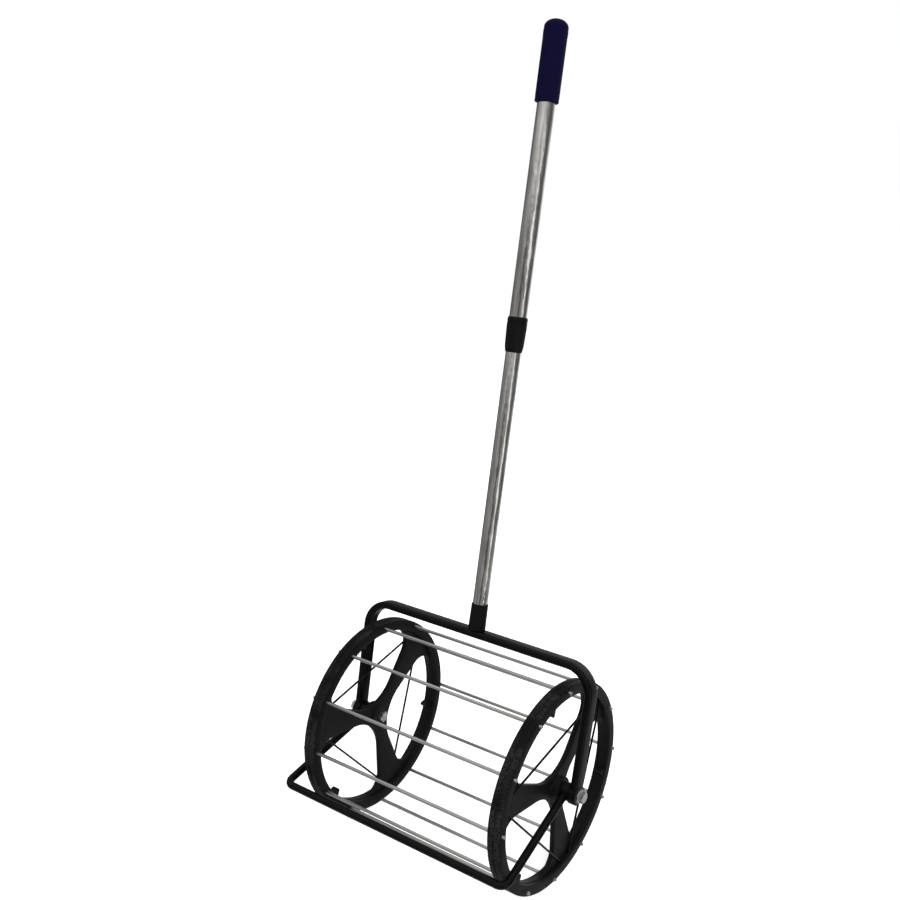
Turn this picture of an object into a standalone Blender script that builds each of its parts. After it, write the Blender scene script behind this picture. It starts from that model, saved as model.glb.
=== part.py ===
"""Rolling tennis ball cart.

A drum of spring steel rods between two moulded end discs rolls over the balls, which squeeze in
between the rods. A U shaped handle frame carries the drum on two stub axle bolts and a telescopic
pole with a twist lock. A lighter U shaped bail swings on the same two bolts in front of the drum.

World frame: X along the drum's axle, +Y away from the bail, Z up, the floor at Z = 0.
"""
from math import asin, atan2, copysign, cos, hypot, pi, radians, sin, sqrt, tan

import bmesh
import bpy
from mathutils import Matrix, Vector

# Clearances
SEAT_GAP = 0.0003           # between pieces that touch or are pressed together
RUN_GAP = 0.0003            # around a turning or sliding fit, per side
FACE_GAP = 0.0006           # between faces that turn past each other
CUT_MARGIN = 0.0020         # a cutter runs this far past the faces that it opens

# Drum
TREAD_DIA = 0.273           # over the treads
DRUM_SPAN = 0.268           # between the inner faces of the two rims
RIM_WIDTH = 0.018           # along the axle
RIM_WALL = 0.0145           # radial thickness
RIM_EDGE = 0.0012           # chamfer on the rim's edges
GROOVE_WIDTH = 0.0030       # groove around the middle of the tread
GROOVE_DEPTH = 0.0008
WEB_WALL = 0.0068           # thickness of the spokes
WEB_INSET = 0.0051          # from the rim's inner face to the spokes
HUB_DIA = 0.031             # boss around the axle
HUB_INSET = 0.0025          # boss starts this far in from the rim's inner face
HUB_PROUD = 0.0025          # boss stands out of the rim's outer face
SPOKE_ROOT = 0.0060         # width that a spoke would have at the axle
SPOKE_FLARE = 10.0          # degrees that each side of a spoke widens towards the rim
SPOKE_PHASE = 40.3          # degrees from +Y of the first of three spokes
NOSE_RADIUS = 0.055         # rounding of an opening towards the hub
SHOULDER_RADIUS = 0.024     # rounding of an opening at the rim
WEB_LIP = 0.0012            # web left standing inside the rim
NIB_WIDTH = 0.018           # pointed nib in the middle of each opening's rim side
NIB_HEIGHT = 0.0095

# Rods and guard wires
ROD_COUNT = 12
ROD_DIA = 0.0045
ROD_DEPTH = 0.0060          # from the tread to a rod's centre
ROD_PROUD = 0.0040          # rod ends stand out of the rim's outer face
ROD_EDGE = 0.0007           # chamfer on a rod's ends
GUARD_DIA = 0.0028
GUARD_SPREAD = 0.006446     # from a spoke's centre line to the ends of the wires beside it
GUARD_SOCKET = 0.0040       # depth of its ends in the rim

# Axle
BOLT_DIA = 0.008
HEX_FLATS = 0.013           # across the flats of head and nut
HEAD_HEIGHT = 0.0053
NUT_HEIGHT = 0.0065
BOLT_END = 0.0015           # thread showing past the nut
WASHER_DIA = 0.017
WASHER_WALL = 0.0016

# Bail
BAIL_TUBE = 0.010
BAIL_GAP = 0.0153           # between the treads' circle and the bar
BAIL_ANGLE = 193.9          # degrees from +Y
BAIL_SPLAY = 0.0098         # each arm leans out by this much from eye to bar
BAIL_CORNER = 0.010         # centre line radius
BAIL_STRAIGHT = 0.0132      # each arm leaves its knuckle square to the axle for this long
KNUCKLE_DIA = 0.022
KNUCKLE_WALL = 0.0110       # along the axle

# Handle frame
STRAP_WALL = 0.010          # flat sided tube, thin way
STRAP_WIDTH = 0.020         # flat sided tube, wide way
STRAP_ROUND = 0.0040
FRAME_GAP = 0.0167          # between the treads' circle and the top bar
FRAME_CORNER = 0.034        # centre line radius
FRAME_EYE = 0.025           # round end about the axle
EYE_WALL = 0.0110           # along the axle
LEAN = 12.47                # degrees that frame and pole lean back

# Telescopic pole
SOCKET_BASE_DIA = 0.0222
SOCKET_TOP_DIA = 0.0213
SOCKET_HEIGHT = 0.0341
SOCKET_FOOT = 0.0050        # height of the straight stretch at its base
SOCKET_EDGE = 0.0008        # chamfer at its top
SOCKET_FLOOR = 0.0030       # wall between the top bar and the tube's end
LOWER_TUBE = 0.019
LOWER_WALL = 0.0010
TUBE_OVERLAP = 0.0715       # lower tube inside the upper tube, drawn out
UPPER_TUBE = 0.0215
COLLAR_BOTTOM = 0.5157      # from the axle, along the pole
COLLAR_HEIGHT = 0.0423
COLLAR_DIA = 0.0247         # at the shoulder below its crown
COLLAR_CROWN = 0.0045       # height of the rounded top end
COLLAR_CROWN_DIA = 0.0230   # at the top face
COLLAR_SHOULDER = 0.0070    # straight stretch below the crown
COLLAR_NECK_DIA = 0.0231    # where the nose begins
COLLAR_NOSE = 0.0085        # height of the rounded bottom end
COLLAR_NOSE_DIA = 0.0204    # at the bottom face
COLLAR_LIP = 0.0100         # solid nose that bears on the lower tube
COLLAR_FLUTES = 14
FLUTE_RADIUS = 0.0016
FLUTE_DEPTH = 0.0006
GRIP_TOP = 0.8950           # from the axle, along the pole
GRIP_LENGTH = 0.0911
GRIP_DIA = 0.0285
GRIP_DOME = 0.0095
GRIP_CAP = 0.0060           # rubber over the tube's end
GRIP_MOUTH = 0.0012         # rounding at the mouth of the grip

# Values that follow
RIM_IN = DRUM_SPAN / 2
RIM_OUT = RIM_IN + RIM_WIDTH
TREAD_R = TREAD_DIA / 2
RIM_R = TREAD_R - RIM_WALL
ROD_CIRCLE = TREAD_DIA - 2 * ROD_DEPTH
GUARD_END = RIM_R + GUARD_SOCKET
GUARD_REACH = GUARD_END * cos(radians(60.0) - asin(GUARD_SPREAD / GUARD_END))
WEB_IN = RIM_IN + WEB_INSET
WEB_OUT = WEB_IN + WEB_WALL
HUB_IN = RIM_IN + HUB_INSET
HUB_OUT = RIM_OUT + HUB_PROUD
AXLE_HOLE = BOLT_DIA / 2 + RUN_GAP
BAIL_X = HUB_OUT + FACE_GAP + KNUCKLE_WALL / 2
FRAME_X = BAIL_X + KNUCKLE_WALL / 2 + FACE_GAP + EYE_WALL / 2
WASHER_IN = FRAME_X + EYE_WALL / 2 + SEAT_GAP
HEAD_IN = WASHER_IN + WASHER_WALL + SEAT_GAP
NUT_OUT = HUB_IN - FACE_GAP
BAIL_REACH = TREAD_R + BAIL_GAP + BAIL_TUBE / 2
FRAME_REACH = TREAD_R + FRAME_GAP + STRAP_WALL / 2
BAR_TOP = FRAME_REACH + STRAP_WALL / 2
SOCKET_BOTTOM = BAR_TOP + SEAT_GAP
SOCKET_TOP = SOCKET_BOTTOM + SOCKET_HEIGHT
LOWER_BOTTOM = SOCKET_BOTTOM + SOCKET_FLOOR + SEAT_GAP
COLLAR_TOP = COLLAR_BOTTOM + COLLAR_HEIGHT
GRIP_BOTTOM = GRIP_TOP - GRIP_LENGTH
LOWER_TOP = COLLAR_BOTTOM + COLLAR_LIP + TUBE_OVERLAP
UPPER_BORE = LOWER_TUBE / 2 + RUN_GAP
UPPER_BOTTOM = COLLAR_BOTTOM + COLLAR_LIP + SEAT_GAP
UPPER_TOP = GRIP_TOP - GRIP_CAP - SEAT_GAP
BACK_REACH = (GRIP_TOP - GRIP_DOME) * sin(radians(LEAN)) + hypot(
    GRIP_DOME * sin(radians(LEAN)), GRIP_DIA / 2 * cos(radians(LEAN)))
FRONT_REACH = -BAIL_REACH * cos(radians(BAIL_ANGLE)) + BAIL_TUBE / 2
AXLE_Y = (FRONT_REACH - BACK_REACH) / 2
AXLE_Z = TREAD_R

DISC_STEPS = 60
ROUND_STEPS = 24
BEND_STEPS = 7


def clear_scene():
    for obj in list(bpy.data.objects):
        bpy.data.objects.remove(obj, do_unlink=True)


def new_collection(name):
    coll = bpy.data.collections.new(name)
    bpy.context.scene.collection.children.link(coll)
    return coll


clear_scene()
PARTS = new_collection("tennis_ball_cart")
CUTTERS = new_collection("cutters")


def material(name, colour, roughness, metallic):
    mat = bpy.data.materials.new(name)
    mat.use_nodes = True
    shader = mat.node_tree.nodes["Principled BSDF"]
    shader.inputs["Base Color"].default_value = (*colour, 1.0)
    shader.inputs["Roughness"].default_value = roughness
    shader.inputs["Metallic"].default_value = metallic
    return mat


BLACK_PLASTIC = material("black_moulded_plastic", (0.012, 0.012, 0.013), 0.42, 0.0)
BLACK_PAINT = material("black_painted_tube", (0.010, 0.010, 0.011), 0.35, 0.2)
SPRING_STEEL = material("bright_spring_steel", (0.62, 0.62, 0.60), 0.28, 1.0)
POLISHED_TUBE = material("polished_steel_tube", (0.72, 0.72, 0.71), 0.16, 1.0)
ZINC = material("zinc_plated_steel", (0.66, 0.66, 0.64), 0.34, 1.0)
NAVY_RUBBER = material("navy_rubber", (0.010, 0.008, 0.045), 0.62, 0.0)


def empty(name, location, rotation):
    obj = bpy.data.objects.new(name, None)
    obj.location = location
    obj.rotation_euler = rotation
    PARTS.objects.link(obj)
    return obj


def add_object(name, mesh, mat, parent=None, collection=None):
    obj = bpy.data.objects.new(name, mesh)
    (collection or PARTS).objects.link(obj)
    if mat is not None:
        mesh.materials.append(mat)
    obj.parent = parent
    if collection is CUTTERS:
        obj.hide_render = True
        obj.display_type = 'WIRE'
    return obj


def smooth(mesh, angle=35.0):
    mesh.shade_smooth()
    mesh.set_sharp_from_angle(angle=radians(angle))


def turned(name, profile, steps, mat, parent):
    """Screw a closed profile of (radius, height) about local Z, outer side top to bottom."""
    mesh = bpy.data.meshes.new(name)
    bm = bmesh.new()
    verts = [bm.verts.new((r, 0.0, z)) for r, z in profile]
    for a, b in zip(verts, verts[1:] + verts[:1]):
        if a.co.x > 1e-6 or b.co.x > 1e-6:
            bm.edges.new((a, b))
    bm.to_mesh(mesh)
    bm.free()
    obj = add_object(name, mesh, mat, parent)
    screw = obj.modifiers.new("turn", 'SCREW')
    screw.axis = 'Z'
    screw.steps = steps
    screw.render_steps = steps
    screw.use_merge_vertices = True
    screw.merge_threshold = 0.00001
    screw.use_smooth_shade = True
    return obj


def baked(obj):
    """Replace an object's curve or modifiers with the plain mesh that they make."""
    depsgraph = bpy.context.evaluated_depsgraph_get()
    mesh = bpy.data.meshes.new_from_object(obj.evaluated_get(depsgraph), depsgraph=depsgraph)
    mesh.name = obj.name
    bm = bmesh.new()
    bm.from_mesh(mesh)
    bmesh.ops.remove_doubles(bm, verts=bm.verts[:], dist=0.00001)
    bm.to_mesh(mesh)
    bm.free()
    name = obj.name
    collection = obj.users_collection[0]
    matrix = obj.matrix_world.copy()
    parent = obj.parent
    bpy.data.objects.remove(obj, do_unlink=True)
    fresh = bpy.data.objects.new(name, mesh)
    collection.objects.link(fresh)
    fresh.parent = parent
    bpy.context.view_layer.update()
    fresh.matrix_world = matrix
    if collection is CUTTERS:
        fresh.hide_render = True
        fresh.display_type = 'WIRE'
    return fresh


def boolean(obj, other, operation='DIFFERENCE'):
    mod = obj.modifiers.new(operation.lower(), 'BOOLEAN')
    mod.operation = operation
    mod.solver = 'EXACT'
    mod.object = other


def cylinder(bm, radius, z0, z1, centre=(0.0, 0.0), steps=ROUND_STEPS, axis='Z', turn=0.0):
    """Add a closed cylinder between two heights along an axis of the mesh."""
    made = bmesh.ops.create_cone(bm, cap_ends=True, segments=steps, radius1=radius,
                                 radius2=radius, depth=z1 - z0)
    verts = made["verts"]
    if turn:
        bmesh.ops.rotate(bm, verts=verts, cent=(0, 0, 0), matrix=rotation(turn, 'Z'))
    mid = (z0 + z1) / 2
    if axis == 'X':
        bmesh.ops.rotate(bm, verts=verts, cent=(0, 0, 0), matrix=rotation(pi / 2, 'Y'))
        bmesh.ops.translate(bm, verts=verts, vec=(mid, centre[0], centre[1]))
    else:
        bmesh.ops.translate(bm, verts=verts, vec=(centre[0], centre[1], mid))
    return verts


def rotation(angle, axis):
    return Matrix.Rotation(angle, 3, axis)


def mesh_object(name, bm, mat=None, parent=None, collection=None):
    mesh = bpy.data.meshes.new(name)
    bm.to_mesh(mesh)
    bm.free()
    return add_object(name, mesh, mat, parent, collection)


# Drum frame: local X is world Y, local Y is world Z, local Z runs along the axle.
DRUM = empty("drum_axis", (0.0, AXLE_Y, AXLE_Z), (pi / 2, 0.0, pi / 2))


def arc(cx, cy, radius, start, end, count, last=False):
    """Points on an arc between two angles in radians, the last one only if asked for."""
    steps = range(count + 1 if last else count)
    angles = [start + (end - start) * i / count for i in steps]
    return [(cx + radius * cos(a), cy + radius * sin(a)) for a in angles]


def opening_outline():
    """Outline of one egg shaped opening, its middle along +X, drawn counterclockwise."""
    outer = RIM_R - WEB_LIP
    slant = radians(60.0 - SPOKE_FLARE)
    nose_x = (SPOKE_ROOT / 2 + NOSE_RADIUS) / sin(slant)
    across = SPOKE_ROOT / 2 + SHOULDER_RADIUS
    along = sqrt((outer - SHOULDER_RADIUS) ** 2 - across ** 2)
    cx = along * cos(slant) + across * sin(slant)
    cy = along * sin(slant) - across * cos(slant)
    edge = atan2(cy, cx)
    side = slant + pi / 2
    points = arc(0.0, 0.0, outer, -edge, edge, 12)
    points += arc(cx, cy, SHOULDER_RADIUS, edge, side, 8, last=True)
    points += arc(nose_x, 0.0, NOSE_RADIUS, side, 2 * pi - side, 9, last=True)
    points += arc(cx, -cy, SHOULDER_RADIUS, 2 * pi - side, 2 * pi - edge, 8)
    return points


def nib_outline():
    """Outline of a pointed nib on the rim's inner side, its middle along +X."""
    root = RIM_R + RIM_WALL / 4
    points = []
    for i in range(9):
        t = i / 4 - 1.0
        points.append((root - (NIB_HEIGHT + root - RIM_R) * cos(pi / 2 * t) ** 2, NIB_WIDTH / 2 * t))
    return points


def prisms(name, outline, z0, z1):
    """Three closed prisms, one at the middle of each opening, between two heights."""
    curve = bpy.data.curves.new(name, 'CURVE')
    curve.dimensions = '2D'
    curve.fill_mode = 'BOTH'
    curve.extrude = abs(z1 - z0) / 2
    for k in range(3):
        a = radians(SPOKE_PHASE + 60.0 + 120.0 * k)
        spline = curve.splines.new('POLY')
        spline.points.add(len(outline) - 1)
        spline.use_cyclic_u = True
        for point, (u, v) in zip(spline.points, outline):
            point.co = (u * cos(a) - v * sin(a), u * sin(a) + v * cos(a), 0.0, 1.0)
    obj = bpy.data.objects.new(name, curve)
    CUTTERS.objects.link(obj)
    obj.parent = DRUM
    obj.location = (0.0, 0.0, (z0 + z1) / 2)
    bpy.context.view_layer.update()
    return baked(obj)


def guard_frame(k):
    """Angle of guard wire k's middle and half its length up to the bottoms of its sockets."""
    angle = radians(SPOKE_PHASE + 60.0 + 120.0 * k)
    return angle, sqrt(GUARD_END ** 2 - GUARD_REACH ** 2)


GUARD_Z = WEB_OUT + 2 * SEAT_GAP + GUARD_DIA / 2


def guard_wire(bm, k, side, radius, half, steps):
    angle, _ = guard_frame(k)
    verts = cylinder(bm, radius, -half, half, axis='X', steps=steps)
    bmesh.ops.translate(bm, verts=verts, vec=(0.0, -GUARD_REACH, side * GUARD_Z))
    bmesh.ops.rotate(bm, verts=verts, cent=(0, 0, 0), matrix=rotation(angle + pi / 2, 'Z'))


def end_disc(name, side):
    """Moulded end disc: tread rim, three spokes, hub boss, rod holes and guard wire sockets."""
    c = RIM_EDGE
    mid = (RIM_IN + RIM_OUT) / 2
    groove = GROOVE_WIDTH / 2
    bore = AXLE_HOLE
    hub = HUB_DIA / 2
    profile = [
        (bore, HUB_OUT), (hub - c, HUB_OUT), (hub, HUB_OUT - c), (hub, WEB_OUT),
        (RIM_R, WEB_OUT), (RIM_R, RIM_OUT - c), (RIM_R + c, RIM_OUT), (TREAD_R - c, RIM_OUT),
        (TREAD_R, RIM_OUT - c), (TREAD_R, mid + groove), (TREAD_R - GROOVE_DEPTH, mid + groove),
        (TREAD_R - GROOVE_DEPTH, mid - groove), (TREAD_R, mid - groove), (TREAD_R, RIM_IN + c),
        (TREAD_R - c, RIM_IN), (RIM_R + c, RIM_IN), (RIM_R, RIM_IN + c), (RIM_R, WEB_IN),
        (hub, WEB_IN), (hub, HUB_IN), (bore, HUB_IN),
    ]
    if side < 0:
        profile = [(r, -z) for r, z in reversed(profile)]
    disc = turned(name, profile, DISC_STEPS, BLACK_PLASTIC, DRUM)

    bores = bmesh.new()
    rod_hole = ROD_DIA / 2 + SEAT_GAP
    for k in range(ROD_COUNT):
        a = rod_angle(k)
        centre = (ROD_CIRCLE / 2 * cos(a), ROD_CIRCLE / 2 * sin(a))
        low, high = sorted((side * (RIM_IN - CUT_MARGIN), side * (RIM_OUT + CUT_MARGIN)))
        cylinder(bores, rod_hole, low, high, centre, steps=12)
    rod_bores = mesh_object(name + "_rod_bores", bores, None, DRUM, CUTTERS)

    sockets = bmesh.new()
    for k in range(3):
        _, half = guard_frame(k)
        guard_wire(sockets, k, side, GUARD_DIA / 2 + SEAT_GAP, half + SEAT_GAP, 12)
    guard_bores = mesh_object(name + "_guard_bores", sockets, None, DRUM, CUTTERS)

    openings = prisms(name + "_openings", opening_outline(),
                      side * (WEB_IN - CUT_MARGIN), side * (WEB_OUT + CUT_MARGIN))
    nibs = prisms(name + "_nibs", nib_outline(),
                  side * (WEB_IN + RIM_EDGE), side * (RIM_OUT - RIM_EDGE - SEAT_GAP))
    boolean(disc, openings)
    boolean(disc, rod_bores)
    boolean(disc, guard_bores)
    boolean(disc, nibs, 'UNION')
    return disc


def rod_angle(k):
    """The rods stand 15 degrees either side of each spoke, then every 30 degrees."""
    return radians(SPOKE_PHASE + 15.0 + 360.0 / ROD_COUNT * k)


end_disc("end_disc_right", 1)
end_disc("end_disc_left", -1)

for k in range(ROD_COUNT):
    rod_mesh = bmesh.new()
    reach = RIM_OUT + ROD_PROUD
    cylinder(rod_mesh, ROD_DIA / 2, -reach, reach, steps=12)
    rod = mesh_object("rod_%02d" % (k + 1), rod_mesh, SPRING_STEEL, DRUM)
    rod.location = (ROD_CIRCLE / 2 * cos(rod_angle(k)), ROD_CIRCLE / 2 * sin(rod_angle(k)), 0.0)
    bevel = rod.modifiers.new("rounded_ends", 'BEVEL')
    bevel.width = ROD_EDGE
    bevel.segments = 1
    bevel.limit_method = 'ANGLE'
    bevel.angle_limit = radians(60.0)
    smooth(rod.data)

for side, label in ((1, "right"), (-1, "left")):
    for k in range(3):
        _, half = guard_frame(k)
        wire = bmesh.new()
        guard_wire(wire, k, side, GUARD_DIA / 2, half - SEAT_GAP, 10)
        guard = mesh_object("guard_wire_%s_%d" % (label, k + 1), wire, BLACK_PAINT, DRUM)
        smooth(guard.data)


# Axle hardware, on the drum's axle line
def hexagon(bm, z0, z1):
    cylinder(bm, HEX_FLATS / sqrt(3.0), z0, z1, steps=6, turn=pi / 6)


for side, label in ((1, "right"), (-1, "left")):
    nut_in = NUT_OUT - NUT_HEIGHT
    bm = bmesh.new()
    low, high = sorted((side * (nut_in - BOLT_END), side * (HEAD_IN + HEAD_HEIGHT / 2)))
    cylinder(bm, BOLT_DIA / 2, low, high)
    bolt = mesh_object("axle_bolt_" + label, bm, ZINC, DRUM)
    head_mesh = bmesh.new()
    low, high = sorted((side * HEAD_IN, side * (HEAD_IN + HEAD_HEIGHT)))
    hexagon(head_mesh, low, high)
    head = mesh_object("axle_bolt_head_" + label, head_mesh, None, DRUM, CUTTERS)
    boolean(bolt, head, 'UNION')
    smooth(bolt.data)

    low, high = sorted((side * WASHER_IN, side * (WASHER_IN + WASHER_WALL)))
    turned("axle_washer_" + label, [
        (AXLE_HOLE, high), (WASHER_DIA / 2, high), (WASHER_DIA / 2, low), (AXLE_HOLE, low),
    ], ROUND_STEPS, ZINC, DRUM)

    nut_mesh = bmesh.new()
    low, high = sorted((side * nut_in, side * NUT_OUT))
    hexagon(nut_mesh, low, high)
    nut = mesh_object("axle_nut_" + label, nut_mesh, ZINC, DRUM)
    hole_mesh = bmesh.new()
    cylinder(hole_mesh, BOLT_DIA / 2 + SEAT_GAP, low - CUT_MARGIN, high + CUT_MARGIN)
    hole = mesh_object("axle_nut_hole_" + label, hole_mesh, None, DRUM, CUTTERS)
    boolean(nut, hole)


def u_path(eye_x, bar_x, straight, reach, corner):
    """Centre line of a U in local XZ, its arms straight at the eyes and rounded into the bar."""
    corners = [Vector(c) for c in (
        (-eye_x, 0.0), (-eye_x, straight), (-bar_x, reach), (0.0, reach),
        (bar_x, reach), (eye_x, straight), (eye_x, 0.0))]
    points = [corners[0]]
    for before, here, after in zip(corners, corners[1:], corners[2:]):
        if abs(here.y - reach) > 1e-6 or here.x == 0.0:
            points.append(here)
            continue
        a = (before - here).normalized()
        b = (after - here).normalized()
        half = a.angle(b) / 2
        centre = here + (a + b).normalized() * corner / sin(half)
        spoke = here + a * corner / tan(half) - centre
        turn = copysign(pi - 2 * half, a.y * b.x - a.x * b.y)
        points += [centre + Matrix.Rotation(turn * i / BEND_STEPS, 2) @ spoke
                   for i in range(BEND_STEPS + 1)]
    points.append(corners[-1])
    return [(p.x, 0.0, p.y) for p in points]


def rounded_section(name, width, height, radius):
    """Closed 2D section of a flat sided tube."""
    curve = bpy.data.curves.new(name, 'CURVE')
    curve.dimensions = '2D'
    spline = curve.splines.new('POLY')
    corners = ((1, 1, 0.0), (-1, 1, 90.0), (-1, -1, 180.0), (1, -1, 270.0))
    points = []
    for sx, sy, start in corners:
        for i in range(3):
            a = radians(start + 45.0 * i)
            points.append((sx * (width / 2 - radius) + radius * cos(a),
                           sy * (height / 2 - radius) + radius * sin(a)))
    spline.points.add(len(points) - 1)
    for point, (u, v) in zip(spline.points, reversed(points)):
        point.co = (u, v, 0.0, 1.0)
    spline.use_cyclic_u = True
    obj = bpy.data.objects.new(name, curve)
    CUTTERS.objects.link(obj)
    obj.hide_render = True
    return obj


def bent_tube(name, path, parent, section=None, radius=0.0):
    """Sweep a section along a path and return the swept solid as a mesh object."""
    curve = bpy.data.curves.new(name, 'CURVE')
    curve.dimensions = '3D'
    curve.use_fill_caps = True
    curve.render_resolution_u = 0
    if section is None:
        curve.bevel_depth = radius
        curve.bevel_resolution = 3
    else:
        curve.bevel_mode = 'OBJECT'
        curve.bevel_object = section
    curve.twist_mode = 'MINIMUM'
    spline = curve.splines.new('POLY')
    spline.points.add(len(path) - 1)
    for point, co in zip(spline.points, path):
        point.co = (*co, 1.0)
    obj = bpy.data.objects.new(name, curve)
    PARTS.objects.link(obj)
    obj.parent = parent
    bpy.context.view_layer.update()
    return baked(obj)


def eye_bosses(name, half_span, wall, diameter, parent):
    """Round ends about the axle, joined to a U's two arms."""
    bm = bmesh.new()
    for side in (1, -1):
        x0, x1 = side * half_span - wall / 2, side * half_span + wall / 2
        cylinder(bm, diameter / 2, x0, x1, axis='X', steps=32)
    return mesh_object(name, bm, None, parent, CUTTERS)


def eye_holes(name, half_span, wall, parent):
    bm = bmesh.new()
    for side in (1, -1):
        x0, x1 = side * half_span - wall, side * half_span + wall
        cylinder(bm, AXLE_HOLE, x0, x1, axis='X')
    return mesh_object(name, bm, None, parent, CUTTERS)


# Handle frame and pole, local Z along the pole
POLE = empty("pole_axis", (0.0, AXLE_Y, AXLE_Z), (-radians(LEAN), 0.0, 0.0))
strap = rounded_section("strap_section", STRAP_WALL, STRAP_WIDTH, STRAP_ROUND)
frame_path = u_path(FRAME_X, FRAME_X, FRAME_EYE, FRAME_REACH, FRAME_CORNER)
frame = bent_tube("handle_frame", frame_path, POLE, strap)
frame.data.materials.append(BLACK_PAINT)
boolean(frame, eye_bosses("frame_eyes", FRAME_X, EYE_WALL, FRAME_EYE, POLE), 'UNION')
boolean(frame, eye_holes("frame_eye_holes", FRAME_X, EYE_WALL, POLE))
smooth(frame.data)

# Pole socket, standing on the top bar
socket_bore = LOWER_TUBE / 2 + SEAT_GAP
socket_floor = SOCKET_BOTTOM + SOCKET_FLOOR
turned("pole_socket", [
    (socket_bore, SOCKET_TOP), (SOCKET_TOP_DIA / 2 - SOCKET_EDGE, SOCKET_TOP),
    (SOCKET_TOP_DIA / 2, SOCKET_TOP - SOCKET_EDGE), (SOCKET_BASE_DIA / 2, SOCKET_BOTTOM + SOCKET_FOOT),
    (SOCKET_BASE_DIA / 2, SOCKET_BOTTOM), (0.0, SOCKET_BOTTOM),
    (0.0, socket_floor), (socket_bore, socket_floor),
], 32, BLACK_PLASTIC, POLE)


def tube_profile(outer, inner, bottom, top):
    return [(inner, top), (outer, top), (outer, bottom), (inner, bottom)]


turned("lower_tube", tube_profile(LOWER_TUBE / 2, LOWER_TUBE / 2 - LOWER_WALL, LOWER_BOTTOM, LOWER_TOP),
       32, POLISHED_TUBE, POLE)
turned("upper_tube", tube_profile(UPPER_TUBE / 2, UPPER_BORE, UPPER_BOTTOM, UPPER_TOP),
       32, POLISHED_TUBE, POLE)


def quarter_round(radius, height, inner_r, outer_r, count):
    """Rounded end of a turned piece: from a face at a height out to the full radius, below or above."""
    steps = [pi / 2 * i / count for i in range(count + 1)]
    return [(inner_r + (outer_r - inner_r) * sin(a), height + radius * (1 - cos(a))) for a in steps]


# Twist lock collar
collar_bore = UPPER_TUBE / 2 + SEAT_GAP
crown = quarter_round(-COLLAR_CROWN, COLLAR_TOP, COLLAR_CROWN_DIA / 2, COLLAR_DIA / 2, 4)
nose = quarter_round(COLLAR_NOSE, COLLAR_BOTTOM, COLLAR_NOSE_DIA / 2, COLLAR_NECK_DIA / 2, 4)
collar = turned("lock_collar", [(collar_bore, COLLAR_TOP)] + crown + [
    (COLLAR_DIA / 2, COLLAR_TOP - COLLAR_CROWN - COLLAR_SHOULDER)] + nose[::-1] + [
    (UPPER_BORE, COLLAR_BOTTOM),
    (UPPER_BORE, COLLAR_BOTTOM + COLLAR_LIP), (collar_bore, COLLAR_BOTTOM + COLLAR_LIP),
], 2 * COLLAR_FLUTES, BLACK_PLASTIC, POLE)
bm = bmesh.new()
flute_top = COLLAR_TOP - COLLAR_CROWN - COLLAR_SHOULDER / 2
for k in range(COLLAR_FLUTES):
    a = 2 * pi * k / COLLAR_FLUTES
    r = COLLAR_DIA / 2 + FLUTE_RADIUS - FLUTE_DEPTH
    cylinder(bm, FLUTE_RADIUS, COLLAR_BOTTOM + COLLAR_NOSE, flute_top, (r * cos(a), r * sin(a)), steps=8)
boolean(collar, mesh_object("collar_flutes", bm, None, POLE, CUTTERS))

# Grip
grip_r = GRIP_DIA / 2
grip_bore = UPPER_TUBE / 2 + SEAT_GAP
dome = quarter_round(-GRIP_DOME, GRIP_TOP, 0.0, grip_r, 6)
mouth = quarter_round(GRIP_MOUTH, GRIP_BOTTOM, grip_r - GRIP_MOUTH, grip_r, 2)
turned("grip", dome + mouth[::-1] + [
    (grip_bore, GRIP_BOTTOM), (grip_bore, GRIP_TOP - GRIP_CAP), (0.0, GRIP_TOP - GRIP_CAP),
], 30, NAVY_RUBBER, POLE)

# Front bail, on its own axis empty because it swings
BAIL = empty("bail_axis", (0.0, AXLE_Y, AXLE_Z), (radians(BAIL_ANGLE - 90.0), 0.0, 0.0))
bail_path = u_path(BAIL_X, BAIL_X + BAIL_SPLAY, BAIL_STRAIGHT, BAIL_REACH, BAIL_CORNER)
bail = bent_tube("front_bail", bail_path, BAIL, radius=BAIL_TUBE / 2)
bail.data.materials.append(BLACK_PAINT)
boolean(bail, eye_bosses("bail_knuckles", BAIL_X, KNUCKLE_WALL, KNUCKLE_DIA, BAIL), 'UNION')
boolean(bail, eye_holes("bail_holes", BAIL_X, KNUCKLE_WALL, BAIL))
smooth(bail.data)
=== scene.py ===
"""Rolling court collector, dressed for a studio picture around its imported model."""
from math import asin, atan2, copysign, cos, pi, radians, sin, sqrt, tan

import bmesh
import bpy
from mathutils import Matrix, Vector


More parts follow.
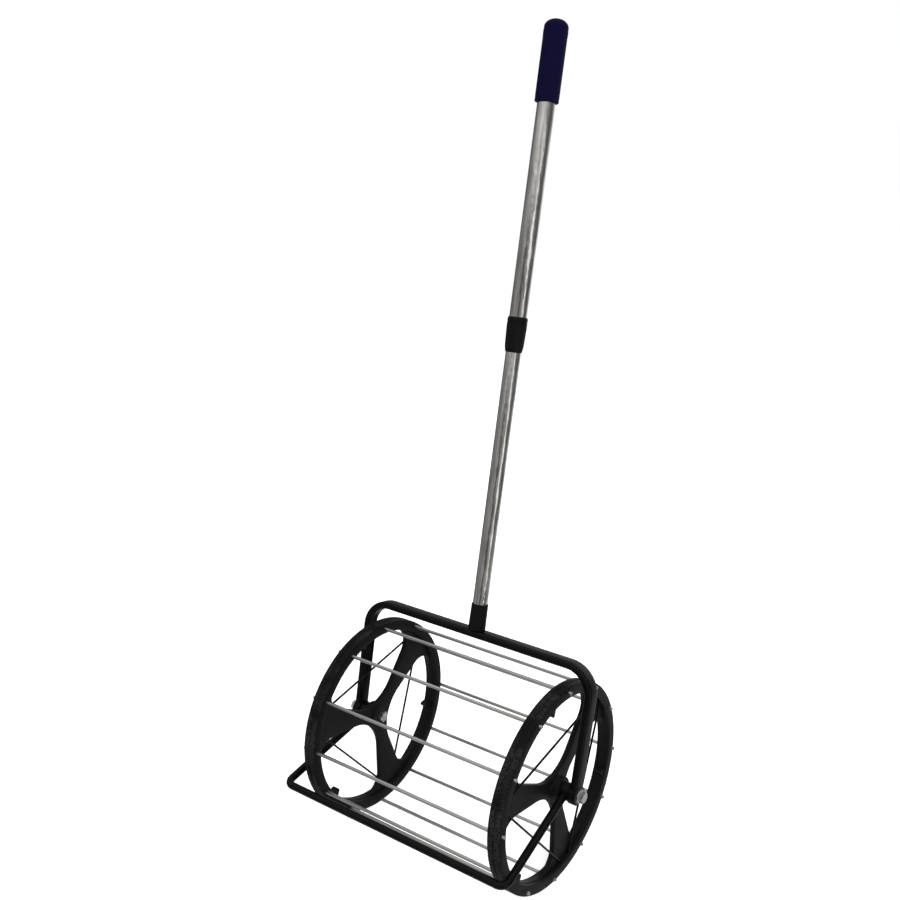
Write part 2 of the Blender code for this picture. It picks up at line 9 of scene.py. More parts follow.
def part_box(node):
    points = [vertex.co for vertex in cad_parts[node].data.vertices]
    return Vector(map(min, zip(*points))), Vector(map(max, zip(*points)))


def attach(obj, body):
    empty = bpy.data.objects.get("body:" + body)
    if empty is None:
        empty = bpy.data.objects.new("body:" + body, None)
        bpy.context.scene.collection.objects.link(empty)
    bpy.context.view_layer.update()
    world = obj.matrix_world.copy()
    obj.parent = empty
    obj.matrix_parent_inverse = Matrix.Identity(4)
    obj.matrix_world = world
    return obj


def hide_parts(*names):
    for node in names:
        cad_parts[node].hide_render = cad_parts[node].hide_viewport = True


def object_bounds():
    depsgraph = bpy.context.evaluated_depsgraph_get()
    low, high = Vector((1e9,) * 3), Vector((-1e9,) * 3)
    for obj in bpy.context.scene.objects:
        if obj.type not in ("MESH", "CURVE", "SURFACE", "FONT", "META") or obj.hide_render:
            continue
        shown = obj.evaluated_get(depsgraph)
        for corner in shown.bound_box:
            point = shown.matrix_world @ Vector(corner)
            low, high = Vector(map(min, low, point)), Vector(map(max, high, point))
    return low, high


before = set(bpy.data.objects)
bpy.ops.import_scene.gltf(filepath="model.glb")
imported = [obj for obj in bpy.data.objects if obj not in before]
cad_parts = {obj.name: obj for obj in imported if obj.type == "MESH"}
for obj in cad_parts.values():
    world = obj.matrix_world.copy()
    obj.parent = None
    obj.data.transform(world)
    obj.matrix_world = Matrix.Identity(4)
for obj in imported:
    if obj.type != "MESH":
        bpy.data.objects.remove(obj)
packed_low, packed_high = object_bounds()

# End discs: two black polypropylene mouldings that carry the drum on its axle bolts.
# Each is one shot: a pebbled tread rim, three flared spokes, a hub boss and a pointed nib at the
# rim in each opening. The rods' ends are pressed through twelve holes in the rim.
disc_low, disc_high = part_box("end_disc_right")
axle = Vector((0.0, (disc_low.y + disc_high.y) / 2, (disc_low.z + disc_high.z) / 2))
axle_place = Matrix(((0, 0, 1, 0), (1, 0, 0, axle.y), (0, 1, 0, axle.z), (0, 0, 0, 1)))
axle_bore = 0.0043
seat_gap = 0.0003
weld_distance = 1e-6
tread_radius = (disc_high.z - disc_low.z) / 2
rim_radius = tread_radius - 0.0145
rim_inner_face = disc_low.x
rim_outer_face = rim_inner_face + 0.018
web_inner_face = rim_inner_face + 0.0051
web_outer_face = web_inner_face + 0.0068
hub_radius = 0.0155
hub_inner_face = rim_inner_face + 0.0025
hub_outer_face = disc_high.x
spoke_phase = radians(40.3)
opening_angles = [spoke_phase + radians(60.0 + 120.0 * k) for k in range(3)]
rod_radius = 0.00225
rod_circle = tread_radius - 0.0060
rod_angles = [spoke_phase + radians(15.0 + 30.0 * k) for k in range(12)]
rod_seats = [(rod_circle * cos(a), rod_circle * sin(a)) for a in rod_angles]


def eased(corners, count=5):
    """Points of an outline from corners of (across, along, rounding)."""
    points = []
    for i, (across, along, ease) in enumerate(corners):
        here = Vector((across, along))
        if not ease:
            points.append(here)
            continue
        a = (Vector(corners[i - 1][:2]) - here).normalized()
        b = (Vector(corners[(i + 1) % len(corners)][:2]) - here).normalized()
        half = a.angle(b) / 2
        centre = here + (a + b).normalized() * ease / sin(half)
        spoke = here + a * ease / tan(half) - centre
        turn = copysign(pi - 2 * half, a.y * b.x - a.x * b.y)
        points += [centre + Matrix.Rotation(turn * k / count, 2) @ spoke for k in range(count + 1)]
    return points


def outline_edges(bm, points, height=0.0):
    """A closed ring of edges through points, level at a height."""
    verts = [bm.verts.new((x, y, height)) for x, y in points]
    return [bm.edges.new(pair) for pair in zip(verts, verts[1:] + verts[:1])]


def turned_shell(bm, corners, steps=96, count=5):
    """Spin eased corners of (radius, height) once round the local Z axis into a closed shell."""
    verts = [bm.verts.new((r, 0.0, z)) for r, z in eased(corners, count)]
    edges = [bm.edges.new(pair) for pair in zip(verts, verts[1:] + verts[:1])]
    bmesh.ops.spin(bm, geom=verts + edges, cent=(0, 0, 0), axis=(0, 0, 1), angle=2 * pi,
                   steps=steps, use_merge=True)


def take_in(bm, other):
    """Move another bmesh's shells into this one."""
    mesh = bpy.data.meshes.new("blank")
    other.to_mesh(mesh)
    other.free()
    bm.from_mesh(mesh)
    bpy.data.meshes.remove(mesh)


def closed_mesh(name, bm, place, sharp=38.0):
    """Weld a bmesh, put it in its place, point its faces out and shade it smooth."""
    bmesh.ops.remove_doubles(bm, verts=bm.verts[:], dist=weld_distance)
    no_area = 1e-14
    flat = [f for f in bm.faces if f.calc_area() < no_area]
    bmesh.ops.delete(bm, geom=flat, context='FACES_ONLY')
    bare = [e for e in bm.edges if not e.link_faces]
    bmesh.ops.delete(bm, geom=bare, context='EDGES')
    bmesh.ops.transform(bm, matrix=place, verts=bm.verts[:])
    bmesh.ops.recalc_face_normals(bm, faces=bm.faces[:])
    if bm.calc_volume(signed=True) < 0.0:
        bmesh.ops.reverse_faces(bm, faces=bm.faces[:])
    mesh = bpy.data.meshes.new(name)
    bm.to_mesh(mesh)
    bm.free()
    mesh.shade_smooth()
    mesh.set_sharp_from_angle(angle=radians(sharp))
    return mesh


def set_piece(mesh, body, slot, material, *nodes):
    """The finished mesh becomes a piece on its body, in its finish, and stands for its nodes."""
    piece = bpy.data.objects.new(mesh.name, mesh)
    bpy.context.scene.collection.objects.link(piece)
    mesh.materials.append(material)
    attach(piece, body)
    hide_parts(*nodes)


def cut_away(body_bm, cutter_bm):
    """Cut one closed shell out of another and return what is left as a bmesh."""
    meshes = []
    for bm in (body_bm, cutter_bm):
        bmesh.ops.recalc_face_normals(bm, faces=bm.faces[:])
        meshes.append(bpy.data.meshes.new("blank"))
        bm.to_mesh(meshes[-1])
        bm.free()
    blank = bpy.data.objects.new("blank", meshes[0])
    drill = bpy.data.objects.new("drill", meshes[1])
    for obj in (blank, drill):
        bpy.context.scene.collection.objects.link(obj)
    cut = blank.modifiers.new("cut", 'BOOLEAN')
    cut.operation = 'DIFFERENCE'
    cut.solver = 'EXACT'
    cut.object = drill
    bpy.context.view_layer.update()
    depsgraph = bpy.context.evaluated_depsgraph_get()
    left = bpy.data.meshes.new_from_object(blank.evaluated_get(depsgraph), depsgraph=depsgraph)
    for obj in (blank, drill):
        bpy.data.objects.remove(obj, do_unlink=True)
    bm = bmesh.new()
    bm.from_mesh(left)
    for mesh in meshes + [left]:
        bpy.data.meshes.remove(mesh)
    return bm


def arc(cx, cy, radius, start, end, count):
    """Points round a circle from one angle up to, but without, another."""
    steps = [start + (end - start) * i / count for i in range(count)]
    return [(cx + radius * cos(a), cy + radius * sin(a)) for a in steps]


def opening_outline():
    """One egg shaped opening, its middle along +X: rim side, shoulders and the nose at the hub."""
    outer = rim_radius - 0.0012
    slant = radians(50.0)
    root, nose_radius, shoulder = 0.0030, 0.055, 0.024
    nose = (root + nose_radius) / sin(slant)
    across = root + shoulder
    along = sqrt((outer - shoulder) ** 2 - across ** 2)
    cx = along * cos(slant) + across * sin(slant)
    cy = along * sin(slant) - across * cos(slant)
    edge, side = atan2(cy, cx), slant + pi / 2
    points = arc(0.0, 0.0, outer, -edge, edge, 44)
    points += arc(cx, cy, shoulder, edge, side, 18)
    points += arc(nose, 0.0, nose_radius, side, 2 * pi - side, 26)
    return points + arc(cx, -cy, shoulder, 2 * pi - side, 2 * pi - edge, 18)


def turned_in_plane(points, angle):
    """The same outline, turned about the axle."""
    return [(x * cos(angle) - y * sin(angle), x * sin(angle) + y * cos(angle)) for x, y in points]


def drilled_rim():
    """The tread rim, with a shallow groove round its middle and a hole for each rod."""
    mid = (rim_inner_face + rim_outer_face) / 2
    groove_half, groove_radius, slope = 0.0015, tread_radius - 0.0008, 0.0003
    bore_ease, tread_ease = 0.0016, 0.0024
    rim = bmesh.new()
    turned_shell(rim, [
        (rim_radius, rim_outer_face, bore_ease), (rim_radius, rim_inner_face, bore_ease),
        (tread_radius, rim_inner_face, tread_ease), (tread_radius, mid - groove_half, slope),
        (groove_radius, mid - groove_half + slope, slope),
        (groove_radius, mid + groove_half - slope, slope),
        (tread_radius, mid + groove_half, slope), (tread_radius, rim_outer_face, tread_ease),
    ], steps=240, count=4)
    holes = bmesh.new()
    hole_radius, drill_length = rod_radius + seat_gap, 0.030
    for x, y in rod_seats:
        bmesh.ops.create_cone(holes, cap_ends=True, segments=28, radius1=hole_radius,
                              radius2=hole_radius, depth=drill_length,
                              matrix=Matrix.Translation((x, y, mid)))
    return cut_away(rim, holes)


def pierced_web():
    """The flat web of three spokes between hub and rim, with rounded lips round its openings."""
    web = bmesh.new()
    into_rim, into_hub = 0.0040, 0.0050
    bmesh.ops.create_circle(web, cap_ends=False, segments=160, radius=rim_radius + into_rim)
    bmesh.ops.create_circle(web, cap_ends=False, segments=48, radius=hub_radius - into_hub)
    for angle in opening_angles:
        outline_edges(web, turned_in_plane(opening_outline(), angle))
    bmesh.ops.triangle_fill(web, use_beauty=True, use_dissolve=False, edges=web.edges[:],
                            normal=(0, 0, 1))
    bmesh.ops.recalc_face_normals(web, faces=web.faces[:])
    bmesh.ops.solidify(web, geom=web.faces[:], thickness=web_outer_face - web_inner_face)
    lowest = min(v.co.z for v in web.verts)
    bmesh.ops.translate(web, verts=web.verts[:], vec=(0, 0, web_inner_face - lowest))
    square, level, lip_ease = 1.0, 1e-5, 0.0015
    lips = [e for e in web.edges if len(e.link_faces) == 2 and e.calc_face_angle() > square
            and hub_radius < e.verts[0].co.xy.length < rim_radius]
    lips = [e for e in lips if abs(e.verts[0].co.z - e.verts[1].co.z) < level]
    bmesh.ops.bevel(web, geom=lips, offset=lip_ease, offset_type='OFFSET', affect='EDGES',
                    segments=4, profile=0.5, clamp_overlap=False, material=-1)
    return web


def disc_bmesh():
    """The right hand disc in drum axes: local Z runs out along the axle."""
    bm = drilled_rim()
    take_in(bm, pierced_web())

    skirt = hub_radius + 0.0040
    skirt_low, skirt_high = web_inner_face + 0.0003, web_outer_face - 0.0003
    turned_shell(bm, [
        (axle_bore, hub_outer_face, 0.0004), (axle_bore, hub_inner_face, 0.0004),
        (hub_radius, hub_inner_face, 0.0010), (hub_radius, skirt_low, 0.0016),
        (skirt, skirt_low, 0.0), (skirt, skirt_high, 0.0),
        (hub_radius, skirt_high, 0.0024), (hub_radius, hub_outer_face, 0.0012),
    ], steps=72)

    nib_root = rim_radius + 0.0036
    nib_reach = nib_root - rim_radius + 0.0095
    nib_half, nib_ease = 0.0090, 0.0009
    nib_foot, nib_top = web_inner_face + 0.0012, rim_outer_face - 0.0015
    tip = [(nib_root - nib_reach * cos(pi / 2 * t / 8) ** 2, nib_half * t / 8)
           for t in range(-8, 9)]
    for angle in opening_angles:
        edges = outline_edges(bm, turned_in_plane(tip, angle), nib_foot)
        face = bmesh.ops.contextual_create(bm, geom=edges)["faces"]
        grown = bmesh.ops.extrude_face_region(bm, geom=face, use_keep_orig=True)["geom"]
        tops = [v for v in grown if isinstance(v, bmesh.types.BMVert)]
        bmesh.ops.translate(bm, verts=tops, vec=(0, 0, nib_top - nib_foot))
        crown = [e for e in grown if isinstance(e, bmesh.types.BMEdge)]
        bmesh.ops.bevel(bm, geom=crown, offset=nib_ease, offset_type='OFFSET', affect='EDGES',
                        segments=3, profile=0.5, clamp_overlap=True, material=-1)
    return bm


def add_node(tree, kind, **settings):
    node = tree.nodes.new(kind)
    for key, value in settings.items():
        setattr(node, key, value)
    return node


def fill(tree, socket, value):
    """Link a socket to another, or set it to a plain value."""
    if isinstance(value, bpy.types.NodeSocket):
        tree.links.new(value, socket)
    else:
        socket.default_value = value


def feed(tree, node, **values):
    """Fill a node's inputs by name, with _ for a blank, or by number, as n0."""
    for key, value in values.items():
        by_number = key[0] == "n" and key[1:].isdigit()
        fill(tree, node.inputs[int(key[1:]) if by_number else key.replace("_", " ")], value)
    return node


def sums(tree, kind, a, b=0.0, clamp=False):
    node = add_node(tree, "ShaderNodeMath", operation=kind, use_clamp=clamp)
    return feed(tree, node, n0=a, n1=b).outputs[0]


def times(tree, a, b):
    return sums(tree, 'MULTIPLY', a, b)


def blended(tree, share, a, b):
    """Mix two colours, or two colour sockets, by a share."""
    node = add_node(tree, "ShaderNodeMix", data_type='RGBA')
    return feed(tree, node, n0=share, n6=a, n7=b).outputs[2]


def between(tree, value, low, high, out_low=0.0, out_high=1.0):
    """Map a value's stretch onto another, held at both ends."""
    node = add_node(tree, "ShaderNodeMapRange", clamp=True)
    return feed(tree, node, n0=value, n1=low, n2=high, n3=out_low, n4=out_high).outputs[0]


def noise(tree, vector, scale, detail=2.0, roughness=0.5):
    node = add_node(tree, "ShaderNodeTexNoise")
    return feed(tree, node, Vector=vector, Scale=scale, Detail=detail,
                Roughness=roughness).outputs[0]


def stretched(tree, vector, x, y, z):
    node = add_node(tree, "ShaderNodeVectorMath", operation='MULTIPLY')
    return feed(tree, node, n0=vector, n1=(x, y, z)).outputs[0]


def raised(tree, height, distance, strength=1.0, under=None):
    """Surface normal of a height, on top of another bump if there is one."""
    node = add_node(tree, "ShaderNodeBump")
    feed(tree, node, Height=height, Distance=distance, Strength=strength)
    if under is not None:
        tree.links.new(under, node.inputs["Normal"])
    return node.outputs[0]


def uneven(tree, pattern, smooth, dull, mask, added):
    """A roughness that wanders with a pattern and rises where a mask does."""
    return sums(tree, 'ADD', between(tree, pattern, 0.3, 0.7, smooth, dull),
                times(tree, mask, added))


def from_axle(tree, at):
    """How far a point is from the axle's centre line."""
    centred = feed(tree, add_node(tree, "ShaderNodeMapping"), Vector=at,
                   Location=(0.0, -axle.y, -axle.z), Scale=(0.0, 1.0, 1.0)).outputs[0]
    length = add_node(tree, "ShaderNodeVectorMath", operation='LENGTH')
    return feed(tree, length, n0=centred).outputs[1]


def new_finish(name):
    """A material with an empty Principled shader, and the piece's own coordinates in metres."""
    mat = bpy.data.materials.new(name)
    mat.use_nodes = True
    tree = mat.node_tree
    at = add_node(tree, "ShaderNodeTexCoord").outputs["Object"]
    return mat, tree, tree.nodes["Principled BSDF"], at


def new_group(name, inputs, outputs):
    """A shader node group with named sockets, and its two end nodes."""
    tree = bpy.data.node_groups.new(name, 'ShaderNodeTree')
    for label, kind, value in inputs:
        socket = tree.interface.new_socket(label, in_out='INPUT', socket_type=kind)
        if value is not None:
            socket.default_value = value
    for label in outputs:
        tree.interface.new_socket(label, in_out='OUTPUT', socket_type='NodeSocketFloat')
    given = tree.nodes.new("NodeGroupInput").outputs
    return tree, given, tree.nodes.new("NodeGroupOutput").inputs


def place_group(tree, group, **values):
    node = add_node(tree, "ShaderNodeGroup", node_tree=group)
    return feed(tree, node, **values).outputs


def moulded_skin_group():
    """Grain of a textured mould, slow flow marks and sparse scuffs."""
    tree, given, result = new_group("moulded_skin", [
        ("Vector", 'NodeSocketVector', None), ("Grain Scale", 'NodeSocketFloat', 1400.0),
        ("Flow Scale", 'NodeSocketFloat', 38.0), ("Scuff Scale", 'NodeSocketFloat', 160.0),
        ("Scuff Level", 'NodeSocketFloat', 0.62)], ("Grain", "Flow", "Scuff"))
    at, level = given["Vector"], given["Scuff Level"]
    grain = noise(tree, at, given["Grain Scale"], 3.0, 0.6)
    flow = noise(tree, at, given["Flow Scale"], 3.0, 0.55)
    marks = noise(tree, stretched(tree, at, 1.0, 0.35, 1.6), given["Scuff Scale"], 5.0, 0.7)
    scuff = between(tree, marks, level, sums(tree, 'ADD', level, 0.12))
    tree.links.new(grain, result["Grain"])
    tree.links.new(flow, result["Flow"])
    tree.links.new(times(tree, scuff, between(tree, flow, 0.50, 0.66)), result["Scuff"])
    return tree


moulded_skin = moulded_skin_group()


def disc_plastic():
    """Black polypropylene: fine mould grain, a coarser pebble on the tread, rubbed lighter, and a
    painted sheen round the rim's bore.
    """
    mat, tree, shader, at = new_finish("pebbled_black_polypropylene")
    skin = place_group(tree, moulded_skin, Vector=at, Grain_Scale=1500.0, Flow_Scale=30.0,
                       Scuff_Scale=170.0, Scuff_Level=0.60)
    radius = from_axle(tree, at)
    tread = between(tree, radius, tread_radius - 0.0022, tread_radius - 0.0006)
    painted_bore_sheen = between(tree, radius, rim_radius + 0.0022, rim_radius + 0.0002)
    hub_rub = times(tree, between(tree, radius, 0.0120, 0.0095),
                    between(tree, radius, 0.0070, 0.0080))
    pebble = add_node(tree, "ShaderNodeTexVoronoi", feature='SMOOTH_F1')
    feed(tree, pebble, Vector=at, Scale=430.0, Smoothness=0.5)
    pebble = times(tree, pebble.outputs["Distance"], tread)
    worn = times(tree, tread, between(tree, skin["Flow"], 0.44, 0.60))
    tops = times(tree, worn, between(tree, pebble, 0.30, 0.62))
    rubbed = sums(tree, 'ADD', times(tree, tops, 1.10), skin["Scuff"], clamp=True)
    rubbed = sums(tree, 'ADD', rubbed, times(tree, hub_rub, 0.5), clamp=True)
    black = blended(tree, skin["Flow"], (0.0028, 0.0028, 0.0030, 1), (0.0056, 0.0056, 0.0060, 1))
    # Within 2 mm of the rim's bore the black is painted lighter: a painted sheen on the inside of
    # the rim, not a change in the plastic.
    black = blended(tree, times(tree, painted_bore_sheen, 0.20), black, (0.012, 0.012, 0.013, 1))
    rough = uneven(tree, skin["Flow"], 0.36, 0.46, rubbed, 0.22)
    feed(tree, shader, Specular_IOR_Level=0.10,
         Base_Color=blended(tree, times(tree, rubbed, 0.75), black, (0.027, 0.0265, 0.026, 1)),
         Roughness=sums(tree, 'ADD', rough, times(tree, tread, 0.08)),
         Normal=raised(tree, skin["Grain"], 0.00016, under=raised(tree, pebble, 0.0009)))
    return mat


disc_finish = disc_plastic()
to_left = Matrix.Scale(-1.0, 4, (1, 0, 0))
right_disc = closed_mesh("spoked_disc_right", disc_bmesh(), axle_place)
set_piece(right_disc, "drum", "black_moulded_plastic", disc_finish, "end_disc_right")
bm = bmesh.new()
bm.from_mesh(right_disc)
left_disc = closed_mesh("spoked_disc_left", bm, to_left)
set_piece(left_disc, "drum", "black_moulded_plastic", disc_finish, "end_disc_left")

# Rods: twelve lengths of bright drawn spring steel, 4.5 mm thick, that bow apart and spring back.
# They are cropped, lightly domed at the ends and pressed through both rims until 4 mm shows.
rod_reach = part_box("rod_01")[1].x
rod_ease = 0.0009


def drawn_metal_group():
    """Fine lines left by drawing or turning a metal, and a slow cloudiness under them."""
    tree, given, result = new_group("drawn_metal", [
        ("Vector", 'NodeSocketVector', None), ("Line Frequency", 'NodeSocketVector', None),
        ("Cloud Frequency", 'NodeSocketVector', None)], ("Lines", "Cloud"))
    for label, detail, roughness in (("Line", 3.0, 0.65), ("Cloud", 4.0, 0.6)):
        node = add_node(tree, "ShaderNodeVectorMath", operation='MULTIPLY')
        feed(tree, node, n0=given["Vector"], n1=given[label + " Frequency"])
        pattern = noise(tree, node.outputs[0], 1.0, detail, roughness)
        tree.links.new(pattern, result["Lines" if label == "Line" else "Cloud"])
    return tree


drawn_metal = drawn_metal_group()


def spring_steel():
    """Bright drawn wire, tarnished in clouds along its length."""
    mat, tree, shader, at = new_finish("bright_drawn_spring_steel")
    drawn = place_group(tree, drawn_metal, Vector=at, Line_Frequency=(14.0, 2600.0, 2600.0),
                        Cloud_Frequency=(22.0, 300.0, 300.0))
    tarnish = times(tree, between(tree, drawn["Cloud"], 0.50, 0.72), 0.55)
    bright = blended(tree, drawn["Lines"], (0.50, 0.50, 0.485, 1), (0.66, 0.66, 0.645, 1))
    feed(tree, shader, Metallic=1.0,
         Base_Color=blended(tree, tarnish, bright, (0.33, 0.325, 0.31, 1)),
         Roughness=uneven(tree, drawn["Lines"], 0.24, 0.33, tarnish, 0.18),
         Normal=raised(tree, drawn["Lines"], 0.00004))
    return mat


rod_finish = spring_steel()
for k, (x, y) in enumerate(rod_seats):
    bm = bmesh.new()
    turned_shell(bm, [(0.0, rod_reach, 0.0), (0.0, -rod_reach, 0.0),
                      (rod_radius, -rod_reach, rod_ease), (rod_radius, rod_reach, rod_ease)],
                 steps=32, count=4)
    rod = closed_mesh("picker_rod_%02d" % (k + 1), bm,
                      axle_place @ Matrix.Translation((x, y, 0.0)))
    set_piece(rod, "drum", "bright_spring_steel", rod_finish, "rod_%02d" % (k + 1))

# Guard wires: black painted steel wires, 2.8 mm thick, that bar the openings of both discs.
# Each crosses one opening on the outside of the web, its ends pushed into sockets in the rim.
face_gap = 0.0006
wire_radius = 0.0014
wire_ease = 0.0004
wire_offset = web_outer_face + face_gap + wire_radius
wire_end = rim_radius + 0.0040
wire_spread = 0.006446
wire_reach = wire_end * cos(radians(60.0) - asin(wire_spread / wire_end))
wire_half = sqrt(wire_end ** 2 - wire_reach ** 2) - seat_gap


def painted_steel(name, peel, worn_inside=None):
    """Black semi gloss paint: orange peel, dust nibs, and rubbed bare next to the axle bolts."""
    mat, tree, shader, at = new_finish(name)
    skin = place_group(tree, moulded_skin, Vector=at, Grain_Scale=peel, Flow_Scale=26.0,
                       Scuff_Scale=240.0, Scuff_Level=0.63)
    black = blended(tree, skin["Flow"], (0.0013, 0.0013, 0.0014, 1), (0.0028, 0.0028, 0.0030, 1))
    black = blended(tree, times(tree, skin["Scuff"], 0.6), black, (0.014, 0.014, 0.0145, 1))
    feed(tree, shader, Base_Color=black, Specular_IOR_Level=0.15,
         Roughness=uneven(tree, skin["Flow"], 0.25, 0.34, skin["Scuff"], 0.25),
         Normal=raised(tree, skin["Grain"], 0.00009))
    if worn_inside:
        near = between(tree, from_axle(tree, at), worn_inside, worn_inside - 0.0016)
        bare = times(tree, near, between(tree, skin["Grain"], 0.40, 0.55))
        feed(tree, shader, Base_Color=blended(tree, bare, black, (0.30, 0.29, 0.28, 1)),
             Metallic=times(tree, bare, 0.9))
    return mat


wire_paint = painted_steel("black_painted_wire", 900.0)
lay_down = Matrix.Rotation(pi / 2, 4, 'Y')
for side, hand in ((1, "right"), (-1, "left")):
    shift = Matrix.Translation((0.0, -wire_reach, side * wire_offset))
    for k, angle in enumerate(opening_angles):
        bm = bmesh.new()
        turned_shell(bm, [(0.0, wire_half, 0.0), (0.0, -wire_half, 0.0),
                          (wire_radius, -wire_half, wire_ease),
                          (wire_radius, wire_half, wire_ease)], steps=20, count=3)
        swing = Matrix.Rotation(angle + pi / 2, 4, 'Z')
        wire = closed_mesh("guard_%s_%d" % (hand, k + 1), bm,
                           axle_place @ swing @ shift @ lay_down)
        set_piece(wire, "drum", "black_painted_wire", wire_paint,
                  "guard_wire_%s_%d" % (hand, k + 1))

# Axle hardware: M8 hexagon bolts with washers under their heads, and nuts inside the drum.
# All are zinc plated steel, turned from hexagon bar, with the corners of head and nut chamfered.
flats = 0.013
corner = flats / sqrt(3.0)
chamfer = 0.0007
ring_radius = flats / 2 - 0.0002
head_face = packed_high.x
head_seat = head_face - 0.0053
washer_radius = 0.0085
washer_wall = 0.0016
washer_face = head_seat - seat_gap
washer_seat = washer_face - washer_wall
nut_outer_face = hub_inner_face - face_gap
nut_inner_face = nut_outer_face - 0.0065
bolt_radius = 0.0040
thread_depth = 0.0006
pitch = 0.00125
turns = 9
tail = nut_inner_face - 0.0015
shank_start = tail + 0.0130
buried = head_seat + 0.002


def cut_hexagon(bm):
    """Mill six flats on a turned blank, closing each cut."""
    bmesh.ops.remove_doubles(bm, verts=bm.verts[:], dist=weld_distance)
    for k in range(6):
        normal = Vector((cos(radians(30 + 60 * k)), sin(radians(30 + 60 * k)), 0.0))
        cut = bmesh.ops.bisect_plane(bm, geom=bm.verts[:] + bm.edges[:] + bm.faces[:], dist=1e-7,
                                     plane_co=normal * flats / 2, plane_no=normal,
                                     clear_outer=True)
        rim = [e for e in cut["geom_cut"] if isinstance(e, bmesh.types.BMEdge)]
        bmesh.ops.edgeloop_fill(bm, edges=rim)


def threaded_shank():
    """Corners of (radius, height, rounding) of the bolt's shank, from its tail up to its head."""
    corners = [(0.0, buried, 0.0), (0.0, tail, 0.0), (bolt_radius - 0.0009, tail, 0.0)]
    for n in range(turns):
        start = tail + 0.0004 + n * pitch
        corners += [(bolt_radius, start + pitch * 0.45, 0.0),
                    (bolt_radius, start + pitch * 0.55, 0.0),
                    (bolt_radius - thread_depth, start + pitch, 0.0)]
    return corners + [(bolt_radius, shank_start, 0.0), (bolt_radius, buried, 0.0)]


def zinc_plate():
    """Bright zinc with turning marks, cloudy and faintly stained."""
    mat, tree, shader, at = new_finish("bright_zinc_plate")
    drawn = place_group(tree, drawn_metal, Vector=at, Line_Frequency=(5200.0, 420.0, 420.0),
                        Cloud_Frequency=(260.0, 260.0, 260.0))
    bright = blended(tree, drawn["Cloud"], (0.62, 0.625, 0.63, 1), (0.86, 0.85, 0.82, 1))
    stain = times(tree, between(tree, noise(tree, at, 700.0, 3.0, 0.6), 0.58, 0.70), 0.25)
    feed(tree, shader, Metallic=1.0,
         Base_Color=blended(tree, stain, bright, (0.42, 0.40, 0.35, 1)),
         Roughness=between(tree, drawn["Cloud"], 0.3, 0.7, 0.22, 0.40),
         Normal=raised(tree, drawn["Lines"], 0.00005))
    return mat


zinc = zinc_plate()
for facing, hand in ((axle_place, "right"), (to_left @ axle_place, "left")):
    bm = bmesh.new()
    turned_shell(bm, [(0.0, head_face, 0.0), (0.0, head_seat, 0.0), (corner, head_seat, 0.0),
                      (corner, head_face - chamfer, 0.0), (ring_radius, head_face, 0.0)])
    cut_hexagon(bm)
    turned_shell(bm, threaded_shank(), steps=48)
    bolt = closed_mesh("m8_bolt_" + hand, bm, facing, sharp=28.0)
    set_piece(bolt, "handle", "zinc_plated_steel", zinc, "axle_bolt_" + hand)

    bm = bmesh.new()
    turned_shell(bm, [(axle_bore, washer_face, 0.0002), (axle_bore, washer_seat, 0.0002),
                      (washer_radius, washer_seat, 0.0005), (washer_radius, washer_face, 0.0003)],
                 steps=72, count=3)
    washer = closed_mesh("plain_washer_" + hand, bm, facing)
    set_piece(washer, "handle", "zinc_plated_steel", zinc, "axle_washer_" + hand)

    bm = bmesh.new()
    turned_shell(bm, [
        (bolt_radius + 0.0003, nut_outer_face, 0.0), (bolt_radius + 0.0003, nut_inner_face, 0.0),
        (ring_radius, nut_inner_face, 0.0), (corner, nut_inner_face + chamfer, 0.0),
        (corner, nut_outer_face - chamfer, 0.0), (ring_radius, nut_outer_face, 0.0)])
    cut_hexagon(bm)
    nut = closed_mesh("hexagon_nut_" + hand, bm, facing, sharp=28.0)
    set_piece(nut, "handle", "zinc_plated_steel", zinc, "axle_nut_" + hand)

# Handle frame: a U of flat sided steel tube, 20 by 10 mm, painted semi gloss black.
# It is bent cold round two formers, and a round eye is welded on each arm for the axle bolt.
lean = radians(12.47)
pole_place = Matrix(((1, 0, 0, 0), (0, cos(lean), sin(lean), axle.y),
                     (0, -sin(lean), cos(lean), axle.z), (0, 0, 0, 1)))
eye_half = 0.0055
tube_wall, tube_width, tube_ease = 0.005, 0.010, 0.004
frame_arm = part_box("handle_frame")[1].x - eye_half
frame_reach = tread_radius + 0.0167 + tube_wall
frame_paint = painted_steel("semi_gloss_black_tube", 700.0, worn_inside=0.0098)


def u_path(eye, bar, straight, reach, corner, count):
    """Middle line of a U in local XZ: arms from the eyes, rounded into the bar."""
    elbow = 0.030
    corners = [Vector(c) for c in ((-eye, 0.0), (-eye, straight), (-bar, reach), (bar, reach),
                                   (eye, straight), (eye, 0.0))]
    points = [corners[0]]
    for before, here, after in zip(corners, corners[1:], corners[2:]):
        a, b = (before - here).normalized(), (after - here).normalized()
        half = a.angle(b) / 2
        if pi - 2 * half < 1e-4:
            continue
        at_bar = abs(here.y - reach) < 1e-6
        ease, steps = (corner, count) if at_bar else (elbow, 4)
        centre = here + (a + b).normalized() * ease / sin(half)
        spoke = here + a * ease / tan(half) - centre
        turn = copysign(pi - 2 * half, a.y * b.x - a.x * b.y)
        points += [centre + Matrix.Rotation(turn * i / steps, 2) @ spoke for i in range(steps + 1)]
    return points + [corners[-1]]


